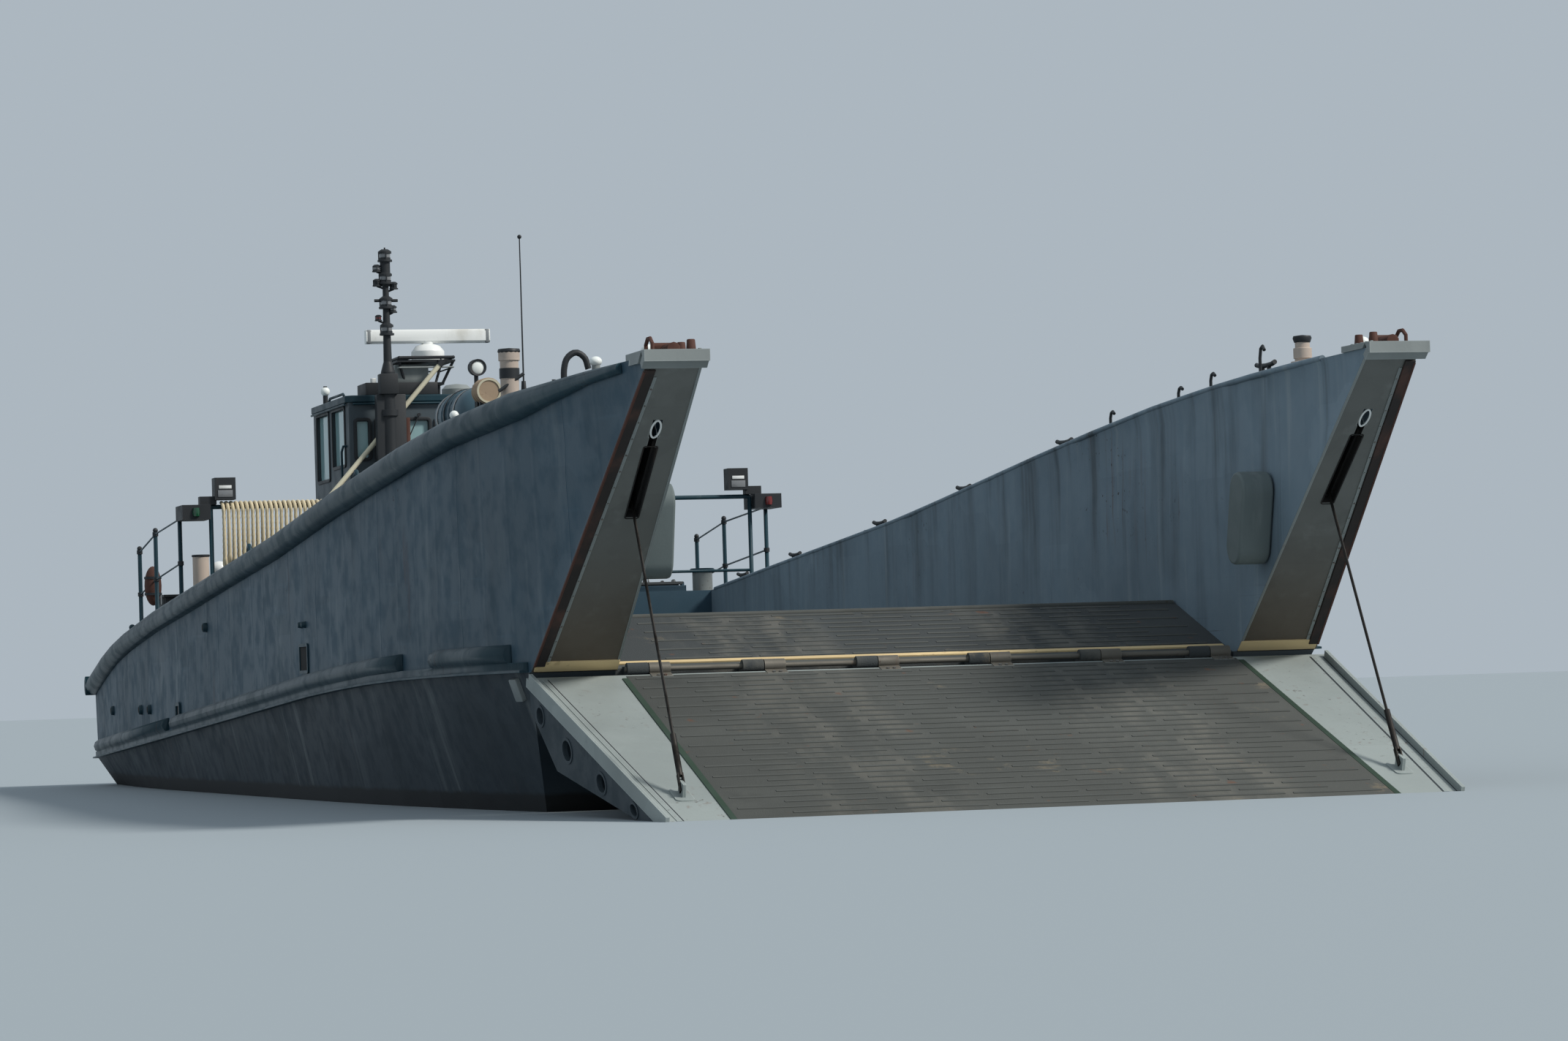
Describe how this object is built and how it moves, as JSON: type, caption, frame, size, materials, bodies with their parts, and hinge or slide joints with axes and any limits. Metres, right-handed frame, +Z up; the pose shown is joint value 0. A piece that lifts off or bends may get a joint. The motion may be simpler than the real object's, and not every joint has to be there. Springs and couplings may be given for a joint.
{
  "type": "mechanised landing craft",
  "caption": "Steel landing craft with an open cargo well, hinged bow ramp, aft pilothouse, radar mast, twin screws and rudders, shown with the ramp lowered.",
  "frame": {"origin": "amidships on the centreline, on the waterline of the empty craft", "axes": "+X forward to the bow, +Y to port, +Z up"},
  "size_m": [22.8017, 6.4028, 6.6218],
  "materials": {
    "hull_paint": "satin haze grey, streaked and dented",
    "rail_paint": "satin darker blue grey, scuffed",
    "bottom_paint": "matt dark bottom paint, scuffed",
    "deck_nonskid": "rough dark non-skid",
    "ramp_paint": "satin light grey with a dark non-skid middle",
    "light_paint": "satin warm light grey",
    "dark_paint": "satin dark grey",
    "seal_rubber": "matt brown black rubber",
    "wire_steel": "dark greased wire",
    "pin_steel": "worn steel",
    "propeller_bronze": "dull bronze",
    "white_enclosure": "semi-gloss white",
    "canister_shell": "weathered grey moulding",
    "tan_paint": "faded tan",
    "cream_paint": "weathered cream",
    "rope_fibre": "cream laid rope"
  },
  "bodies": {
    "hull": {"lower_hull": "bottom_paint", "after_body": "hull_paint", "well_deck": "deck_nonskid", "stern_rail": "rail_paint", "wing_starboard": "hull_paint", "wing_port": "hull_paint", "sheer_rail_starboard": "rail_paint", "sheer_rail_port": "rail_paint", "knuckle_rail_starboard": "rail_paint", "knuckle_rail_port": "rail_paint", "bow_seal_starboard": "seal_rubber", "bow_seal_port": "seal_rubber", "bow_cap_starboard": "light_paint", "bow_cap_port": "light_paint", "sheave_housing_starboard": "light_paint", "sheave_housing_port": "light_paint", "lifeline_starboard": "rail_paint", "lifeline_port": "rail_paint", "sidelight_starboard": "dark_paint", "sidelight_port": "dark_paint", "stern_bitts_starboard": "dark_paint", "stern_bitts_port": "dark_paint", "exhaust_starboard": "dark_paint", "exhaust_port": "dark_paint", "shaft_bracket_starboard": "bottom_paint", "shaft_bracket_port": "bottom_paint", "ramp_hinge_pin": "pin_steel", "pilothouse_walls": "hull_paint", "pilothouse_roof": "rail_paint", "helm_console": "dark_paint", "steering_wheel": "dark_paint", "helm_seat": "dark_paint", "mast": "dark_paint", "radar_platform": "dark_paint", "radar_gearbox": "white_enclosure", "mast_stay": "cream_paint", "whip_antenna": "dark_paint", "raft_canister": "canister_shell", "raft_cradle": "dark_paint", "stores_drum": "tan_paint", "vent_post_starboard": "rail_paint", "vent_post_port": "rail_paint", "gooseneck_starboard": "dark_paint", "floodlight_starboard": "light_paint", "well_guard_rail": "rail_paint", "rope_hank": "rope_fibre", "deck_locker": "dark_paint"},
    "ramp": {"ramp": "ramp_paint", "hoist_wire_starboard": "wire_steel", "hoist_wire_port": "wire_steel"},
    "radar_scanner": {"radar_scanner": "white_enclosure"},
    "pilothouse_door": {"pilothouse_door": "hull_paint"},
    "engine_hatch_starboard": {"engine_hatch_starboard": "deck_nonskid"},
    "engine_hatch_port": {"engine_hatch_port": "deck_nonskid"},
    "lazarette_hatch": {"lazarette_hatch": "deck_nonskid"},
    "propeller_starboard": {"propeller_starboard": "propeller_bronze"},
    "propeller_port": {"propeller_port": "propeller_bronze"},
    "rudder_starboard": {"rudder_starboard": "bottom_paint"},
    "rudder_port": {"rudder_port": "bottom_paint"}
  },
  "joints": [
    {"name": "ramp_hinge", "type": "hinge", "parent": "hull", "child": "ramp", "pos_m": [8.7, 0, 0.95], "axis": [0, -1, 0], "range_deg": [-12, 55.5]},
    {"name": "radar_spin", "type": "hinge", "parent": "hull", "child": "radar_scanner", "pos_m": [-6.85, -0.21, 4.33], "axis": [0, 0, 1], "continuous": true},
    {"name": "door_hinge", "type": "hinge", "parent": "hull", "child": "pilothouse_door", "pos_m": [-8.375, 0.87, 2.62], "axis": [0, 0, -1], "range_deg": [0, 100]},
    {"name": "engine_hatch_starboard_hinge", "type": "hinge", "parent": "hull", "child": "engine_hatch_starboard", "pos_m": [-5.82, -2, 1.855], "axis": [1, 0, 0], "range_deg": [0, 100]},
    {"name": "engine_hatch_port_hinge", "type": "hinge", "parent": "hull", "child": "engine_hatch_port", "pos_m": [-5.82, 2, 1.855], "axis": [-1, 0, 0], "range_deg": [0, 100]},
    {"name": "lazarette_hatch_hinge", "type": "hinge", "parent": "hull", "child": "lazarette_hatch", "pos_m": [-9.695, 0, 1.505], "axis": [0, 1, 0], "range_deg": [0, 100]},
    {"name": "propeller_starboard_spin", "type": "hinge", "parent": "hull", "child": "propeller_starboard", "pos_m": [-9.6, -1.25, -0.8], "axis": [0.9986, 0, 0.0523], "continuous": true},
    {"name": "propeller_port_spin", "type": "hinge", "parent": "hull", "child": "propeller_port", "pos_m": [-9.6, 1.25, -0.8], "axis": [0.9986, 0, 0.0523], "continuous": true},
    {"name": "rudder_starboard_steer", "type": "hinge", "parent": "hull", "child": "rudder_starboard", "pos_m": [-10.5, -1.25, -0.4], "axis": [0, 0, 1], "range_deg": [-35, 35]},
    {"name": "rudder_port_steer", "type": "hinge", "parent": "hull", "child": "rudder_port", "pos_m": [-10.5, 1.25, -0.4], "axis": [0, 0, 1], "range_deg": [-35, 35]}
  ],
  "couplings": [
    {"joint": "rudder_port_steer", "follows": "rudder_starboard_steer", "ratio": 1}
  ]
}
